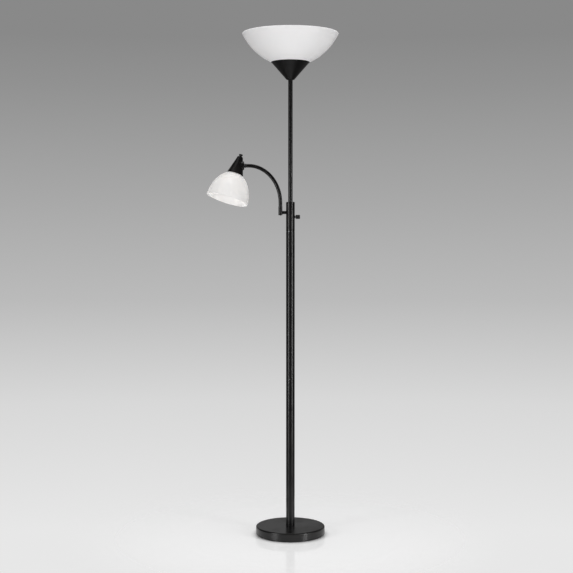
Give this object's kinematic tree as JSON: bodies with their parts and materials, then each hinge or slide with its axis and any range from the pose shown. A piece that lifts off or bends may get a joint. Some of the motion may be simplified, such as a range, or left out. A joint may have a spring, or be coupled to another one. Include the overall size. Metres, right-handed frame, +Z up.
{
  "type": "torchiere floor lamp",
  "caption": "Torchiere floor lamp: weighted round base, slim column, upward bowl shade, and a side arm with a tilting dome-shaded reading light; rotary switch on the column.",
  "frame": {"origin": "centre of the base pad's underside, on the column's axis, on the floor", "axes": "+Z up along the column; the switch knob points to +X and the reading arm to -X; the front is -Y and the cord inlet is at the back, +Y"},
  "size_m": [0.4706, 0.345, 1.8],
  "materials": {
    "black_paint": "satin black powder coat",
    "black_plastic": "fine matt moulded",
    "shade_white": "satin opal white",
    "cast_iron": "as cast",
    "zinc_steel": "zinc plated",
    "brass": "turned",
    "bulb_cap_aluminium": "rolled thread",
    "socket_phenolic": "moulded phenolic",
    "black_nylon": "black, turned",
    "bulb_glass": "opal coated",
    "lead_insulation": "extruded"
  },
  "bodies": {
    "stand": {"base_cover": "black_paint", "column_lower_tube": "black_paint", "column_upper_tube": "black_paint", "switch_sleeve": "black_paint", "column_cap": "black_paint", "upper_pole": "black_paint", "torchiere_cup": "black_paint", "arm_bracket": "black_paint", "ferrule_cap": "black_paint", "switch_nut": "black_paint", "base_pad": "black_plastic", "inlet_grommet": "black_plastic", "bowl_ring": "black_plastic", "bowl_shade": "shade_white", "base_weight": "cast_iron", "base_washer": "zinc_steel", "base_nut": "zinc_steel", "base_stud": "zinc_steel", "column_foot_insert": "zinc_steel", "column_coupler": "zinc_steel", "sleeve_coupler": "zinc_steel", "upper_nipple": "zinc_steel", "cup_locknut": "zinc_steel", "bracket_nut": "zinc_steel", "torchiere_socket_liner": "brass", "torchiere_bulb_cap": "bulb_cap_aluminium", "switch_body": "socket_phenolic", "torchiere_socket": "socket_phenolic", "pivot_washer": "black_nylon", "torchiere_bulb_glass": "bulb_glass", "supply_leads": "lead_insulation", "torchiere_leads": "lead_insulation", "bracket_leads": "lead_insulation"},
    "knob": {"switch_shaft": "socket_phenolic", "switch_knob": "black_plastic"},
    "arm": {"arm_tube": "black_paint", "pivot_bush": "black_paint", "pivot_ring": "zinc_steel", "arm_end_collar": "black_paint", "swivel_nipple": "zinc_steel", "friction_washer": "black_nylon", "swivel_spring_washer": "zinc_steel", "swivel_nut": "zinc_steel", "arm_leads": "lead_insulation"},
    "head": {"reading_cup": "black_paint", "reading_finial": "black_paint", "reading_nipple": "zinc_steel", "reading_socket": "socket_phenolic", "reading_socket_liner": "brass", "reading_shade": "shade_white", "reading_shade_ring": "black_plastic", "reading_bulb_cap": "bulb_cap_aluminium", "reading_bulb_glass": "bulb_glass"}
  },
  "joints": [
    {"name": "switch_turn", "type": "hinge", "parent": "stand", "child": "knob", "pos_m": [0.0268, 0, 1.148], "axis": [1, 0, 0], "continuous": true},
    {"name": "arm_swing", "type": "hinge", "parent": "stand", "child": "arm", "pos_m": [-0.0358, 0, 1.1868], "axis": [0, 0, 1], "range_deg": [-120, 120]},
    {"name": "head_tilt", "type": "hinge", "parent": "arm", "child": "head", "pos_m": [-0.1656, 0, 1.3306], "axis": [1, 0, 0], "range_deg": [-110, 130]}
  ]
}
